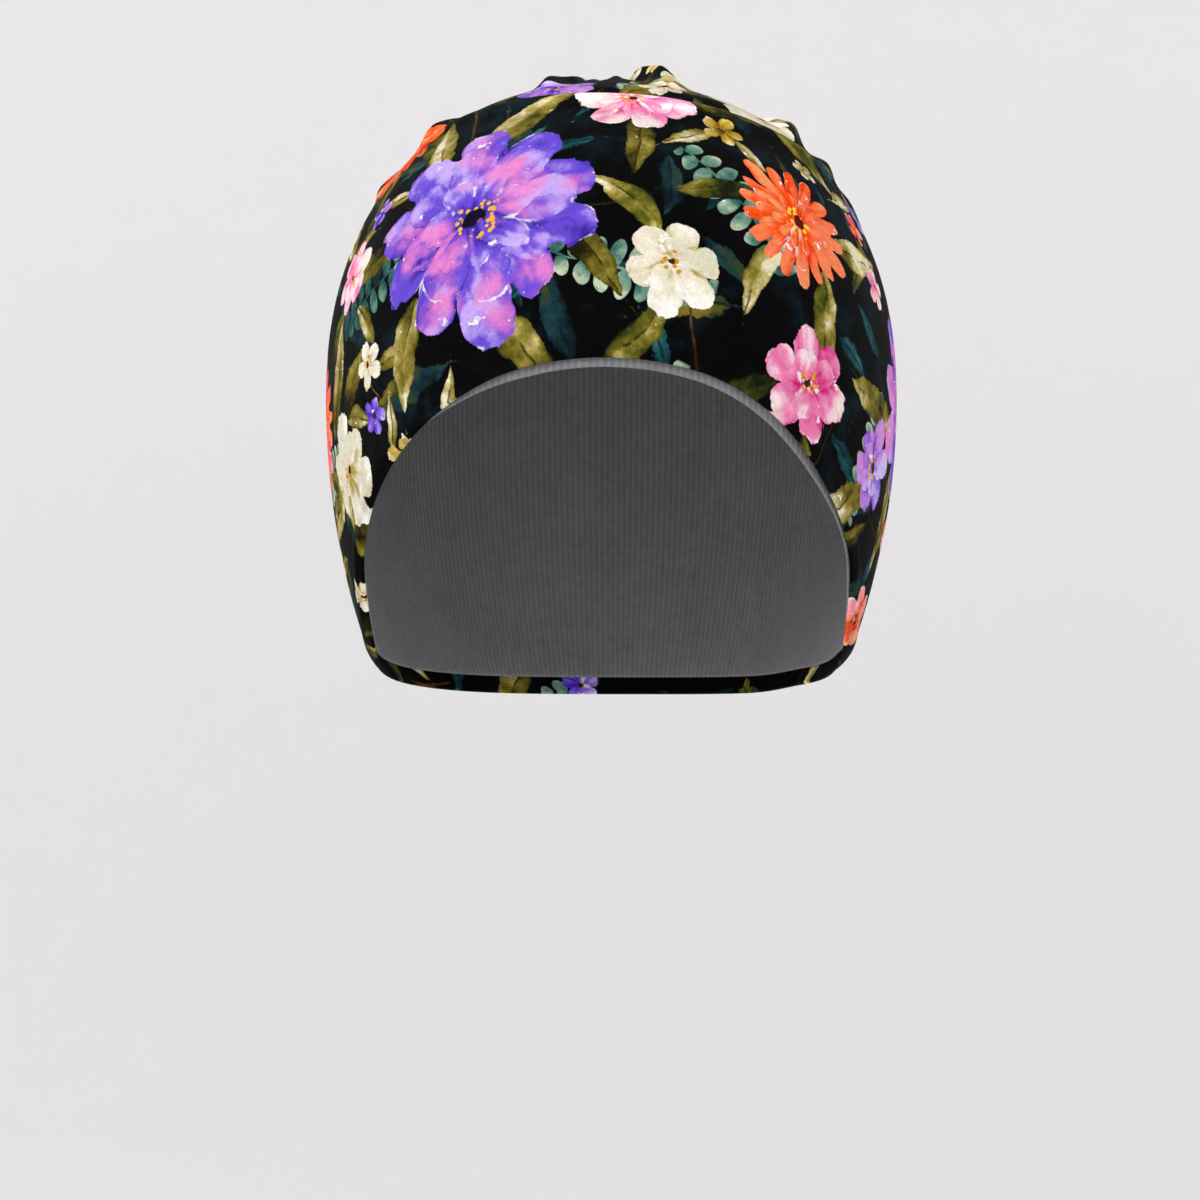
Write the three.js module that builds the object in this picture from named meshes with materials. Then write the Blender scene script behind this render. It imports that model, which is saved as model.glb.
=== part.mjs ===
// A close-fitting comfort cap of two layers of knit cloth: a printed crown shell with soft folds
// gathered behind its top, and a plain lining inside it.
// Millimetres, +Z up. The face opening looks along -Y, with +X on the viewer's right.
// The origin is where the top of the head touches the lining.

import * as THREE from "three";

const { degToRad, clamp, lerp, smoothstep } = THREE.MathUtils;

// The smooth dome that the outer layer follows, drawn round an upright axis at centreY.
const DOME = {
  centreY: 8,
  widestZ: -87,
  halfWidth: 81.2,
  frontDepth: 103,
  backDepth: 93,
  crownHeight: 89.8,
  crownRoundness: 2.22,
  neckHeight: 137,
  neckRoundness: 2,
  sectionRoundness: 2.15,
};

const SHELL_WALL = 1.2;
const LINING_WALL = 1.0;
const LAYER_GAP = 0.65;
const EDGE_ROUNDING = 0.5;

// The crown is gathered behind its top: grid angles are measured from a pole tipped back by
// gatherTip, and the tip fades out where the tilt from the pole reaches gatherFade (degrees).
const GATHER = { tip: 17, fade: 60 };

// Spare cloth lifts the crown off the head, fading out between these tilts (degrees).
const SLACK = { lift: 0.5, fullTilt: 34, noneTilt: 62 };

// Height of the shell's edge round the head, by azimuth from the middle of the face (degrees).
const EDGE = [
  { azimuth: 0, height: -78.5 },
  { azimuth: 15, height: -82.4 },
  { azimuth: 27, height: -92.6 },
  { azimuth: 41, height: -111.6 },
  { azimuth: 54, height: -132.2 },
  { azimuth: 62, height: -150.0 },
  { azimuth: 69, height: -161.5 },
  { azimuth: 80, height: -166.2 },
  { azimuth: 110, height: -169.0 },
  { azimuth: 145, height: -171.3 },
  { azimuth: 180, height: -172.0 },
];
const FACE_TURN = -2;

// The lining drops below the shell's edge at the forehead, and sits above it at the sides.
const LINING_EDGE = { middle: 8, full: 20, none: 60, most: 2.5, least: -1.5 };

// Folds of the crown. Each runs through three places, given as azimuth and tilt from the gather in
// degrees. Heights and widths are in millimetres, and a negative height is a groove. A share of
// the length fades in at the start, and another fades out at the end.
const FOLD_COLUMNS = ["from", "through", "to", "height", "width", "fadeIn", "fadeOut"];
const FOLDS = [
  [[30, 5], [32, 16], [17, 32], 5.4, 4.8, 0.35, 0.4],
  [[-34, 5], [-37, 16], [-18, 31], 2.8, 4.8, 0.35, 0.4],
  [[-62, 45], [4, 27], [74, 48], -1.1, 3.0, 0.25, 0.2],
  [[-58, 38], [2, 20], [72, 42], 1.1, 5.5, 0.3, 0.25],
  [[72, 14], [78, 26], [83, 42], 5.4, 7.0, 0.75, 0.2],
  [[104, 22], [95, 38], [87, 56], 2.6, 7.0, 0.4, 0.4],
  [[-72, 14], [-79, 27], [-85, 44], 4.2, 7.0, 0.75, 0.25],
  [[-106, 22], [-97, 40], [-89, 60], 2.0, 7.0, 0.4, 0.4],
  [[94, 6], [104, 16], [118, 30], 3.0, 6.0, 0.4, 0.45],
  [[124, 6], [130, 20], [134, 42], 3.6, 6.5, 0.35, 0.5],
  [[152, 5], [154, 18], [158, 36], 3.2, 6.0, 0.35, 0.5],
  [[180, 5], [178, 20], [180, 44], 3.8, 6.5, 0.35, 0.5],
  [[-152, 5], [-156, 18], [-158, 36], 3.0, 6.0, 0.35, 0.5],
  [[-124, 6], [-130, 20], [-136, 42], 3.6, 6.5, 0.35, 0.5],
  [[-94, 6], [-102, 16], [-116, 30], 2.8, 6.0, 0.4, 0.45],
].map((row) => Object.fromEntries(FOLD_COLUMNS.map((column, i) => [column, row[i]])));
const FOLD_STEPS = 16;
const FOLD_RADIUS = 88;
const PINCH_TILT = 16;

const SHELL_GRID = { around: 72, down: 22 };
const LINING_GRID = { around: 48, down: 16 };

// A direction from the dome's middle, by azimuth from the face and tilt from the pole.
function sphereDirection(azimuth, tilt) {
  const a = degToRad(azimuth);
  const t = degToRad(tilt);
  return new THREE.Vector3(Math.sin(t) * Math.sin(a), -Math.sin(t) * Math.cos(a), Math.cos(t));
}

// The same direction once the pole is tipped back to the gather.
function gatheredDirection(azimuth, tilt) {
  const tip = GATHER.tip * (1 - smoothstep(tilt, 0, GATHER.fade));
  return sphereDirection(azimuth, tilt).applyAxisAngle(new THREE.Vector3(1, 0, 0), -degToRad(tip));
}

function sectionNorm(x, y) {
  const depth = y < 0 ? DOME.frontDepth : DOME.backDepth;
  const p = DOME.sectionRoundness;
  return (Math.abs(x / DOME.halfWidth) ** p + Math.abs(y / depth) ** p) ** (1 / p);
}

function uprightShape(z) {
  return z < 0
    ? { height: DOME.neckHeight, roundness: DOME.neckRoundness }
    : { height: DOME.crownHeight, roundness: DOME.crownRoundness };
}

// The dome's own point in a direction from its middle.
function domePoint(direction) {
  const { height, roundness } = uprightShape(direction.z);
  const size =
    (sectionNorm(direction.x, direction.y) ** roundness +
      Math.abs(direction.z / height) ** roundness) **
    (1 / roundness);
  return direction.clone().divideScalar(size);
}

// The dome's outward normal at a point measured from its middle.
function domeNormal(point) {
  const { height, roundness } = uprightShape(point.z);
  const depth = point.y < 0 ? DOME.frontDepth : DOME.backDepth;
  const p = DOME.sectionRoundness;
  const q = Math.max(sectionNorm(point.x, point.y), 1e-9);
  const across = q ** (roundness - p);
  return new THREE.Vector3(
    (across * Math.sign(point.x) * Math.abs(point.x / DOME.halfWidth) ** (p - 1)) / DOME.halfWidth,
    (across * Math.sign(point.y) * Math.abs(point.y / depth) ** (p - 1)) / depth,
    (Math.sign(point.z) * Math.abs(point.z / height) ** (roundness - 1)) / height,
  ).normalize();
}

// The edge's height at an azimuth: a smooth curve through the rows of EDGE.
function edgeHeight(azimuth) {
  const turned = Math.abs(((((azimuth - FACE_TURN + 180) % 360) + 360) % 360) - 180);
  const last = EDGE.length - 2;
  const i = Math.min(Math.max(EDGE.findIndex((row) => row.azimuth > turned) - 1, 0), last);
  const index = turned >= EDGE[last + 1].azimuth ? last : i;
  const [a, b] = [EDGE[index], EDGE[index + 1]];
  const span = b.azimuth - a.azimuth;
  const u = (turned - a.azimuth) / span;
  const [startSlope, endSlope] = [edgeSlope(index), edgeSlope(index + 1)];
  return (
    a.height * (1 + 2 * u) * (1 - u) ** 2 +
    b.height * u * u * (3 - 2 * u) +
    span * (startSlope * u * (1 - u) ** 2 - endSlope * u * u * (1 - u))
  );
}

function edgeSlope(index) {
  if (index === 0 || index === EDGE.length - 1) return 0;
  const [before, after] = [EDGE[index - 1], EDGE[index + 1]];
  return (after.height - before.height) / (after.azimuth - before.azimuth);
}

// How far the lining's edge drops below the shell's.
function liningDrop(azimuth) {
  const { middle, full, none, most, least } = LINING_EDGE;
  return lerp(most, least, smoothstep(Math.abs(azimuth - middle), full, none));
}

// The tilt from the pole at which the dome reaches a height, at an azimuth.
function tiltAtHeight(azimuth, height) {
  const up = height - DOME.widestZ;
  const shape = uprightShape(up);
  const flat = sphereDirection(azimuth, 90);
  const section = (1 - Math.abs(up / shape.height) ** shape.roundness) ** (1 / shape.roundness);
  const reach = section / sectionNorm(flat.x, flat.y);
  return THREE.MathUtils.radToDeg(Math.atan2(reach, up));
}

// A fold's crest as short straight steps on the unit sphere.
function crestOf(fold) {
  return Array.from({ length: FOLD_STEPS + 1 }, (_, i) => {
    const s = i / FOLD_STEPS;
    const blend = (k) =>
      (1 - s) ** 2 * fold.from[k] +
      2 * s * (1 - s) * (2 * fold.through[k] - (fold.from[k] + fold.to[k]) / 2) +
      s * s * fold.to[k];
    return sphereDirection(blend(0), blend(1));
  });
}
const CRESTS = FOLDS.map(crestOf);

// The nearest place on a crest to a direction: its distance, and its share along the crest.
function nearestOn(crest, direction) {
  let best = { distance: Infinity, share: 0 };
  for (let i = 0; i < FOLD_STEPS; i++) {
    const step = crest[i + 1].clone().sub(crest[i]);
    const u = clamp(direction.clone().sub(crest[i]).dot(step) / step.lengthSq(), 0, 1);
    const distance = crest[i].clone().addScaledVector(step, u).distanceTo(direction);
    if (distance < best.distance) best = { distance, share: (i + u) / FOLD_STEPS };
  }
  return best;
}

// How far the folds and the spare cloth lift the shell off the dome.
function shellLift(azimuth, tilt) {
  const direction = sphereDirection(azimuth, tilt);
  const pinch = lerp(0.35, 1, smoothstep(tilt, 0, PINCH_TILT));
  let lift = SLACK.lift * (1 - smoothstep(tilt, SLACK.fullTilt, SLACK.noneTilt));
  FOLDS.forEach((fold, i) => {
    const { distance, share } = nearestOn(CRESTS[i], direction);
    const across = (distance * FOLD_RADIUS) / (fold.width * pinch);
    const fade = smoothstep(share, 0, fold.fadeIn) * (1 - smoothstep(share, 1 - fold.fadeOut, 1));
    lift += fold.height * fade * Math.exp(-across * across);
  });
  return Math.max(lift, 0);
}

// A point of a layer, a distance inside the dome, at a share of the way from gather to edge.
function layerPoint(azimuth, tilt, inset, lift) {
  const point = domePoint(gatheredDirection(azimuth, tilt));
  const normal = domeNormal(point);
  return point
    .addScaledVector(normal, lift - inset)
    .add(new THREE.Vector3(0, DOME.centreY, DOME.widestZ));
}

// One closed skin from rings of points: a pole, the rings of one face, and those of the other.
function closedSkin(firstPole, rings, lastPole) {
  const around = rings[0].length;
  const points = [firstPole, ...rings.flat(), lastPole];
  const last = points.length - 1;
  const at = (ring, i) => 1 + ring * around + (i % around);
  const faces = [];
  for (let i = 0; i < around; i++) {
    faces.push(0, at(0, i), at(0, i + 1));
    faces.push(last, at(rings.length - 1, i + 1), at(rings.length - 1, i));
    for (let ring = 0; ring < rings.length - 1; ring++) {
      faces.push(at(ring, i), at(ring + 1, i), at(ring + 1, i + 1));
      faces.push(at(ring, i), at(ring + 1, i + 1), at(ring, i + 1));
    }
  }
  const geometry = new THREE.BufferGeometry();
  geometry.setAttribute("position", new THREE.Float32BufferAttribute(points.flatMap((p) => [...p]), 3));
  geometry.setIndex(faces);
  geometry.computeVertexNormals();
  return geometry;
}

// A layer of cloth: its outer face, a rounded edge and its inner face.
function clothLayer({ grid, inset, wall, lift, edgeDrop }) {
  const azimuths = Array.from({ length: grid.around }, (_, i) => (360 * i) / grid.around - 180);
  const edgeTilts = azimuths.map((a) => tiltAtHeight(a, edgeHeight(a) - edgeDrop(a)));
  const ring = (share, depth, past) =>
    azimuths.map((a, i) => {
      const tilt = edgeTilts[i] * share + past;
      return layerPoint(a, tilt, depth, lift(a, tilt));
    });
  const shares = Array.from({ length: grid.down }, (_, i) => (i + 1) / grid.down);
  const rounding = THREE.MathUtils.radToDeg(EDGE_ROUNDING / FOLD_RADIUS);
  const rings = [
    ...shares.map((share) => ring(share, inset, 0)),
    ring(1, inset + wall / 2, rounding),
    ...shares.toReversed().map((share) => ring(share, inset + wall, 0)),
  ];
  const outerPole = layerPoint(0, 0, inset, lift(0, 0));
  const innerPole = layerPoint(0, 0, inset + wall, lift(0, 0));
  return closedSkin(outerPole, rings, innerPole);
}

function crownShell() {
  const cloth = new THREE.MeshStandardMaterial({ color: "#2b2838", roughness: 0.85, metalness: 0 });
  const geometry = clothLayer({
    grid: SHELL_GRID,
    inset: 0,
    wall: SHELL_WALL,
    lift: shellLift,
    edgeDrop: () => 0,
  });
  return named("crown_shell", geometry, cloth);
}

function lining() {
  const cloth = new THREE.MeshStandardMaterial({ color: "#8d8c8c", roughness: 0.9, metalness: 0 });
  const geometry = clothLayer({
    grid: LINING_GRID,
    inset: SHELL_WALL + LAYER_GAP,
    wall: LINING_WALL,
    lift: () => 0,
    edgeDrop: liningDrop,
  });
  return named("lining", geometry, cloth);
}

function named(name, geometry, material) {
  const mesh = new THREE.Mesh(geometry, material);
  mesh.name = name;
  return mesh;
}

const comfortCap = new THREE.Group();
comfortCap.add(crownShell(), lining());
export default comfortCap;
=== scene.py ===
"""The comfort cap: a printed knit shell with crown folds over a grey knit lining, in a pale studio
with its camera."""

import math
from collections import namedtuple

import bpy
import mathutils
import numpy as np
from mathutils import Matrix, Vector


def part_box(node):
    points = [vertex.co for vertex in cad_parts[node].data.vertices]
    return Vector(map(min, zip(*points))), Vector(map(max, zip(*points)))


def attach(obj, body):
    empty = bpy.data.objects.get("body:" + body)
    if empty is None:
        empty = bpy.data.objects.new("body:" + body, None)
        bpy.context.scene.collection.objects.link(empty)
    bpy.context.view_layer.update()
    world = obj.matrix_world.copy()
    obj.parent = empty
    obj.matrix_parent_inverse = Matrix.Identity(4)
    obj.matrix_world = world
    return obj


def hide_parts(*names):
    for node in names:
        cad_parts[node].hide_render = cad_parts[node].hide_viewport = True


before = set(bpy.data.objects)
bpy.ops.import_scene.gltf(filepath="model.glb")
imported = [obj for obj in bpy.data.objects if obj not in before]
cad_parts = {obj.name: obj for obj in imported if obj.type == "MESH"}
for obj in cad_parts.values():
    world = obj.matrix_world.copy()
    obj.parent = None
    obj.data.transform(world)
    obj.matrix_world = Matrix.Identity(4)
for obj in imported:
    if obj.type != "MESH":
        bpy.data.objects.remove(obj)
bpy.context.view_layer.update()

# ---------------- driving sizes
# Lengths are in millimetres of the cap as it is built, and MM turns them into metres. The CAD
# shell's own width sets MM, so everything follows the frame.

CAP_WIDTH = 162.4
SHELL_LOW, SHELL_HIGH = (np.array(corner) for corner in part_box("crown_shell"))
MM = (SHELL_HIGH[0] - SHELL_LOW[0]) / CAP_WIDTH

# The smooth dome that the shell follows, round an upright axis at CENTRE_Y.
CENTRE_Y = 8.0
WIDEST_Z = -87.0
HALF_WIDTH = CAP_WIDTH / 2
FRONT_DEPTH = 103.0
BACK_DEPTH = SHELL_HIGH[1] / MM - CENTRE_Y
SECTION_ROUNDNESS = 2.15
# Height and roundness of the dome's upright outline below and above its widest place.
NECK, CROWN = (137.0, 2.0), (89.8, 2.22)
DOME_MIDDLE = np.array([0.0, CENTRE_Y, WIDEST_Z])

# The crown is gathered behind its top: the grid's pole tips back, and the tip fades out.
GATHER_TIP, GATHER_FADE = 17.0, 60.0
SLACK_LIFT, SLACK_TILTS = 0.2, (34.0, 62.0)

SHELL_WALL = 1.2
LINING_WALL = 1.0
LAYER_GAP = 0.65
LINING_INSET = SHELL_WALL + LAYER_GAP

# Height of the shell's edge round the head, by azimuth from the middle of the face opening. The
# middle is turned aside a little, less over the brow than at the sides.
BROW_TURN, SIDE_TURN, TURN_AZIMUTHS = -1.2, -3.6, (20.0, 52.0)
EDGE_AZIMUTH = np.array([0.0, 15, 27, 42, 56, 65, 73, 88, 112, 145, 180])
EDGE_HEIGHT = np.array(
    [-78.1, -82.1, -92.3, -111.6, -132.2, -150.0, -158.7, -163.6, -168.0, -171.3, -172.0]
)

# Over the brow the lining's edge shows below the shell's. It draws back at the sides, where the
# shell's own edge rolls inward instead. Both change with the azimuth away from BROW_MIDDLE.
BROW_MIDDLE, LINING_SHOWS, LINING_MOST, LINING_LEAST = 8.0, (20.0, 60.0), 2.5, -4.5
ROLL_AZIMUTHS, ROLL_DEPTH, ROLL_TILT = (36.0, 60.0), 1.1, 2.6

# The right side draws in more than the dome does, towards its edge.
TUCK_DEPTH, TUCK_TILTS = 2.3, (100.0, 145.0)
TUCK_AZIMUTHS, TUCK_FADE = (81.0, 134.0), 12.0

# The turned edge is a little thicker than the cloth above it.
HEM_LIFT, HEM_TILT = 0.35, 5.0

# Folds of the crown: three places that the crest runs through, as azimuth and tilt from the
# gather in degrees, then height and half width in millimetres, the share of the length over
# which it fades in and out, and how far it leans over to its right.
Fold = namedtuple("Fold", "start through end height width fade_in fade_out lean")
FOLDS = [
    Fold((30, 5), (32, 16), (17, 32), 5.5, 3.7, 0.35, 0.4, 0.3),
    Fold((0, 6), (3, 16), (4, 30), 1.2, 6.0, 0.35, 0.4, 0.0),
    Fold((-33, 5), (-36, 16), (-20, 30), 3.5, 3.0, 0.35, 0.4, 0.1),
    Fold((-76, 41), (3, 37.5), (84, 50), 1.9, 4.2, 0.2, 0.2, 0.0),
    Fold((122, 14), (92, 31), (52, 37), 4.6, 4.6, 0.5, 0.35, 0.25),
    Fold((112, 34), (92, 41), (66, 45), 2.6, 4.4, 0.4, 0.3, 0.2),
    Fold((104, 40), (95, 48), (84, 57), 1.6, 6.0, 0.4, 0.4, 0.2),
    Fold((-122, 14), (-92, 31), (-58, 38), 4.3, 4.2, 0.5, 0.45, -0.25),
    Fold((-110, 36), (-94, 45), (-78, 49), 1.8, 5.0, 0.4, 0.3, -0.2),
    Fold((94, 6), (104, 16), (118, 30), 3.0, 6.0, 0.4, 0.45, 0.3),
    Fold((124, 6), (130, 20), (134, 42), 3.6, 6.5, 0.35, 0.5, 0.3),
    Fold((152, 5), (154, 18), (158, 36), 3.2, 6.0, 0.35, 0.5, 0.3),
    Fold((180, 5), (178, 20), (180, 44), 3.8, 6.5, 0.35, 0.5, -0.2),
    Fold((-152, 5), (-156, 18), (-158, 36), 3.0, 6.0, 0.35, 0.5, -0.3),
    Fold((-124, 6), (-130, 20), (-136, 42), 3.6, 6.5, 0.35, 0.5, -0.3),
    Fold((-94, 6), (-102, 16), (-116, 30), 2.8, 6.0, 0.4, 0.45, -0.3),
]
# The front panel stops at a crease behind its lip. The lining follows it in a wider one.
CREASE = Fold((-72, 36), (3, 32), (82, 45), -1.9, 2.6, 0.2, 0.2, 0.0)
LINING_CREASE = CREASE._replace(height=-2.0, width=5.0)
FOLD_STEPS = 16
FOLD_RADIUS = 88.0
FOLD_REACH = 2.6
PINCH_TILT, PINCH_LEAST = 16.0, 0.35

# Small pleats run out of the gather between the folds: their tilts in degrees, then sizes in
# millimetres. Each stands off its even place by a share of the spacing and swings on its way.
PLEATS, PLEAT_START, PLEAT_ENDS = 26, 3.0, (13.0, 24.0)
PLEAT_HEIGHTS, PLEAT_WIDTH, PLEAT_FADES = (1.2, 2.4), 2.3, (0.3, 0.6)
PLEAT_JITTER, PLEAT_SWING, PLEAT_SEED = 0.3, 12, 5

# The lining's slack lies in soft pleats round the gather and falls inward. Each row of them sways
# a few times round the head.
LINING_PLEATS, LINING_PLEAT_DEPTH, LINING_PLEAT_TILTS = 19, 1.3, (14.0, 44.0)
LINING_PLEAT_SWAY, LINING_PLEAT_SWAYS = 2.0, 3
LINING_RIPPLES, LINING_RIPPLE_DEPTH = 7, 0.5
LINING_RIPPLE_SLANT, LINING_RIPPLE_SWAYS = 2, 2

# Grid of each piece: columns round it, rings down each face, and rings over its edge.
# A hidden face's rings stand closer together near the gather, by HIDDEN_CROWDING.
SHELL_GRID = {"around": 384, "seen": 190, "hidden": 50, "edge": 6}
LINING_GRID = {"around": 320, "seen": 150, "hidden": 40, "edge": 6}
HIDDEN_CROWDING = 0.45


# ---------------- the dome


def smoothstep(value, low, high):
    share = np.clip((value - low) / (high - low), 0.0, 1.0)
    return share * share * (3 - 2 * share)


def unit(vectors):
    return vectors / np.maximum(np.linalg.norm(vectors, axis=-1, keepdims=True), 1e-12)


def sphere_direction(azimuth, tilt):
    """Directions from the dome's middle, by azimuth from the face and tilt from the pole in
    degrees."""
    a, t = np.broadcast_arrays(np.radians(azimuth), np.radians(tilt))
    return np.stack([np.sin(t) * np.sin(a), -np.sin(t) * np.cos(a), np.cos(t)], axis=-1)


def tip_back(vectors, tilt):
    """Turns vectors with the pole as it tips back to the gather."""
    tip = np.radians(GATHER_TIP * (1 - smoothstep(tilt, 0, GATHER_FADE)))
    x, y, z = np.moveaxis(vectors, -1, 0)
    cos, sin = np.cos(tip), np.sin(tip)
    return np.stack([x, y * cos + z * sin, z * cos - y * sin], axis=-1)


def section_norm(x, y):
    depth = np.where(y < 0, FRONT_DEPTH, BACK_DEPTH)
    p = SECTION_ROUNDNESS
    return (np.abs(x / HALF_WIDTH) ** p + np.abs(y / depth) ** p) ** (1 / p)


def upright_shape(z):
    return [np.where(z < 0, neck, crown) for neck, crown in zip(NECK, CROWN)]


def dome_point(directions):
    """The dome's points in directions from its middle."""
    x, y, z = np.moveaxis(directions, -1, 0)
    height, roundness = upright_shape(z)
    size = (section_norm(x, y) ** roundness + np.abs(z / height) ** roundness) ** (1 / roundness)
    return directions / size[..., None]


def steepness(value, size, power):
    """How fast the size's share of a value grows when it is raised to a power."""
    return np.sign(value) * np.abs(value / size) ** (power - 1) / size


def dome_normal(points):
    x, y, z = np.moveaxis(points, -1, 0)
    height, roundness = upright_shape(z)
    depth = np.where(y < 0, FRONT_DEPTH, BACK_DEPTH)
    p = SECTION_ROUNDNESS
    flat = np.maximum(section_norm(x, y), 1e-9) ** (roundness - p)
    across, ahead = flat * steepness(x, HALF_WIDTH, p), flat * steepness(y, depth, p)
    return unit(np.stack([across, ahead, steepness(z, height, roundness)], axis=-1))


def edge_height(azimuth):
    """The shell's edge height: a smooth curve through the rows of EDGE_HEIGHT."""
    aside = smoothstep(np.abs(azimuth), *TURN_AZIMUTHS)
    turn = BROW_TURN + (SIDE_TURN - BROW_TURN) * aside
    turned = np.abs((azimuth - turn + 180) % 360 - 180)
    slopes = np.zeros(len(EDGE_AZIMUTH))
    slopes[1:-1] = (EDGE_HEIGHT[2:] - EDGE_HEIGHT[:-2]) / (EDGE_AZIMUTH[2:] - EDGE_AZIMUTH[:-2])
    i = np.clip(np.searchsorted(EDGE_AZIMUTH, turned, side="right") - 1, 0, len(slopes) - 2)
    span = EDGE_AZIMUTH[i + 1] - EDGE_AZIMUTH[i]
    u = (turned - EDGE_AZIMUTH[i]) / span
    return (
        EDGE_HEIGHT[i] * (1 + 2 * u) * (1 - u) ** 2
        + EDGE_HEIGHT[i + 1] * u * u * (3 - 2 * u)
        + span * (slopes[i] * u * (1 - u) ** 2 - slopes[i + 1] * u * u * (1 - u))
    )


def lining_drop(azimuth):
    """How far the lining's edge drops below the shell's."""
    away = smoothstep(np.abs(azimuth - BROW_MIDDLE), *LINING_SHOWS)
    return LINING_MOST + (LINING_LEAST - LINING_MOST) * away


def edge_roll(azimuth, tilt, edge_tilt):
    """How far the shell's edge rolls inward."""
    rolled = smoothstep(np.abs(azimuth - BROW_MIDDLE), *ROLL_AZIMUTHS)
    share = np.clip(1 - (edge_tilt - tilt) / ROLL_TILT, 0, 1)
    return ROLL_DEPTH * rolled * share * share


def side_tuck(azimuth, tilt):
    """How far both layers draw in at the right side."""
    first, last = TUCK_AZIMUTHS
    window = smoothstep(azimuth, first - TUCK_FADE, first + TUCK_FADE)
    window *= 1 - smoothstep(azimuth, last - TUCK_FADE, last + TUCK_FADE)
    return TUCK_DEPTH * window * smoothstep(tilt, *TUCK_TILTS)


def tilt_at_height(azimuth, height):
    """The tilt from the pole at which the dome reaches a height."""
    up = height - WIDEST_Z
    tall, roundness = upright_shape(up)
    flat = sphere_direction(azimuth, 90.0)
    section = (1 - np.abs(up / tall) ** roundness) ** (1 / roundness)
    return np.degrees(np.arctan2(section / section_norm(flat[..., 0], flat[..., 1]), up))


# ---------------- folds


def crest_of(fold):
    """A fold's crest as points on the unit sphere."""
    s = np.linspace(0, 1, FOLD_STEPS + 1)[:, None]
    start, through, end = (np.array(p, float) for p in (fold.start, fold.through, fold.end))
    middle = 2 * through - (start + end) / 2
    path = (1 - s) ** 2 * start + 2 * s * (1 - s) * middle + s * s * end
    return sphere_direction(path[:, 0], path[:, 1])


def nearest_on(crest, directions):
    """Distance to the crest, share along it and the way to its right."""
    best = np.full(len(directions), np.inf)
    share = np.zeros(len(directions))
    along = np.zeros_like(directions)
    for i, (a, b) in enumerate(zip(crest[:-1], crest[1:])):
        step = b - a
        u = np.clip((directions - a) @ step / (step @ step), 0, 1)
        distance = np.linalg.norm(directions - a - u[:, None] * step, axis=1)
        nearer = distance < best
        best[nearer] = distance[nearer]
        share[nearer] = (i + u[nearer]) / FOLD_STEPS
        along[nearer] = step
    return best, share, unit(np.cross(unit(along), directions))


def fold_rise(fold, directions, pinch):
    """The points that a fold reaches, how far it lifts them and how far it pushes them."""
    crest = crest_of(fold)
    middle = crest.mean(axis=0)
    reach = np.linalg.norm(crest - middle, axis=1).max() + FOLD_REACH * fold.width / FOLD_RADIUS
    near = np.flatnonzero(np.linalg.norm(directions - middle, axis=1) < reach)
    distance, share, right = nearest_on(crest, directions[near])
    across = distance * FOLD_RADIUS / (fold.width * pinch[near])
    fade = smoothstep(share, 0, fold.fade_in) * (1 - smoothstep(share, 1 - fold.fade_out, 1))
    rise = fold.height * fade * np.exp(-across * across)
    return near, rise, right * (fold.lean * rise)[:, None]


def pleats():
    """The small pleats at the gather, spread evenly but for a seeded jitter."""
    chance = np.random.default_rng(PLEAT_SEED)
    made = []
    for i in range(PLEATS):
        azimuth = 360 * (i + chance.uniform(-PLEAT_JITTER, PLEAT_JITTER)) / PLEATS
        last = chance.uniform(*PLEAT_ENDS)
        swing = chance.uniform(-PLEAT_SWING, PLEAT_SWING)
        through = (azimuth + swing / 2, (PLEAT_START + last) / 2)
        height = chance.uniform(*PLEAT_HEIGHTS)
        ends = (azimuth, PLEAT_START), through, (azimuth + swing, last)
        made.append(Fold(*ends, height, PLEAT_WIDTH, *PLEAT_FADES, lean=0.0))
    return made


def shell_folds(azimuth, tilt, edge_tilt):
    """How far the folds lift the shell off the dome, and how far they push it sideways."""
    directions = sphere_direction(azimuth, tilt)
    pinch = PINCH_LEAST + (1 - PINCH_LEAST) * smoothstep(tilt, 0, PINCH_TILT)
    lift = SLACK_LIFT * (1 - smoothstep(tilt, *SLACK_TILTS))
    lift += HEM_LIFT * smoothstep(tilt, edge_tilt - HEM_TILT, edge_tilt - HEM_TILT / 2)
    push = np.zeros_like(directions)
    for fold in [*FOLDS, *pleats()]:
        near, rise, aside = fold_rise(fold, directions, pinch)
        lift[near] += rise
        push[near] += aside
    lift = np.maximum(lift, 0)
    near, rise, _ = fold_rise(CREASE, directions, pinch)
    lift[near] += rise
    lift -= edge_roll(azimuth, tilt, edge_tilt) + side_tuck(azimuth, tilt)
    return lift, tip_back(push, tilt)


def lining_folds(azimuth, tilt, edge_tilt):
    """How far the lining's slack falls inward. It never lifts towards the shell."""
    start, end = LINING_PLEAT_TILTS
    turn = np.radians(azimuth)
    sway = LINING_PLEAT_SWAY * np.sin(LINING_PLEAT_SWAYS * turn)
    pleat = 0.5 + 0.5 * np.sin(LINING_PLEATS * turn + sway)
    pleat *= smoothstep(tilt, 0, start) * (1 - smoothstep(tilt, start, end))
    slant = np.radians(tilt) * LINING_RIPPLE_SLANT + np.sin(LINING_RIPPLE_SWAYS * turn)
    ripple = 0.5 + 0.5 * np.sin(LINING_RIPPLES * turn + slant)
    ripple *= smoothstep(tilt, start, end) * (1 - smoothstep(tilt, edge_tilt - end, edge_tilt))
    lift = -LINING_PLEAT_DEPTH * pleat - LINING_RIPPLE_DEPTH * ripple
    directions = sphere_direction(azimuth, tilt)
    near, rise, _ = fold_rise(LINING_CREASE, directions, np.ones(len(tilt)))
    lift[near] += rise
    return lift - side_tuck(azimuth, tilt), np.zeros(directions.shape)


# ---------------- meshes


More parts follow.
